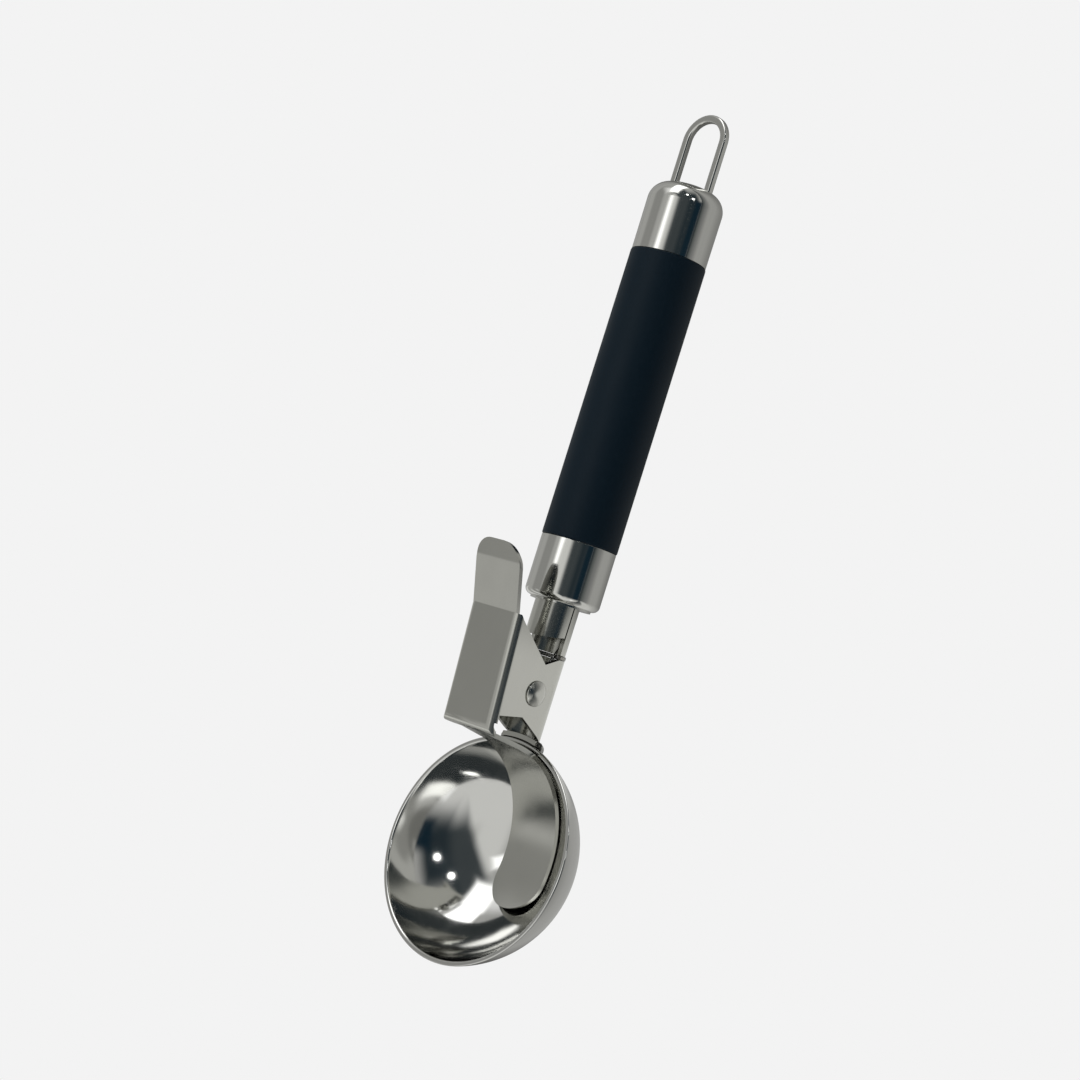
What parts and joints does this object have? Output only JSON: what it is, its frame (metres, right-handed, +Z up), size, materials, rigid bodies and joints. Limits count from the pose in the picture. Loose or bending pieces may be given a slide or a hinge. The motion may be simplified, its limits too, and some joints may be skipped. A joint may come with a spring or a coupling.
{
  "type": "ice cream scoop",
  "caption": "Round polished scoop bowl with a thumb lever that sweeps a tongue through it, on a round rubber-sleeved handle with a hanging loop.",
  "frame": {"origin": "middle of the scoop's box on the surface that it lies on, bowl open upwards", "axes": "+X from the bowl along the handle to the hanging loop, +Z up out of the bowl's mouth, +Y to the left seen from the handle's end looking at the bowl from behind it"},
  "size_m": [0.2266, 0.0598, 0.0449],
  "materials": {
    "polished_steel": "mirror polished",
    "satin_steel": "satin",
    "ferrule_steel": "bright polished",
    "weld_steel": "brushed bead",
    "spring_steel": "drawn wire",
    "grip_rubber": "smooth satin",
    "plug_metal": "turned"
  },
  "bodies": {
    "body": {"bowl": "polished_steel", "bowl_weld": "weld_steel", "fork_bracket": "satin_steel", "neck_weld": "weld_steel", "neck_tube": "satin_steel", "neck_collar": "ferrule_steel", "neck_plug": "plug_metal", "cross_pin": "spring_steel", "lower_ferrule": "ferrule_steel", "handle_tube": "satin_steel", "grip_sleeve": "grip_rubber", "end_cap": "ferrule_steel", "loop_plug": "plug_metal", "hanging_loop": "ferrule_steel", "pivot_pin": "polished_steel", "washer_left": "satin_steel", "washer_right": "satin_steel", "pivot_spacer": "spring_steel", "return_spring": "spring_steel"},
    "thumb_lever": {"lever": "satin_steel"}
  },
  "joints": [
    {"name": "lever_pivot", "type": "hinge", "parent": "body", "child": "thumb_lever", "pos_m": [-0.04175, 0, 0.02669], "axis": [0, 1, 0], "range_deg": [0, 26], "stiffness_Nm_per_rad": 0.06, "springref_deg": -57.3, "deforming": ["return_spring"]}
  ]
}
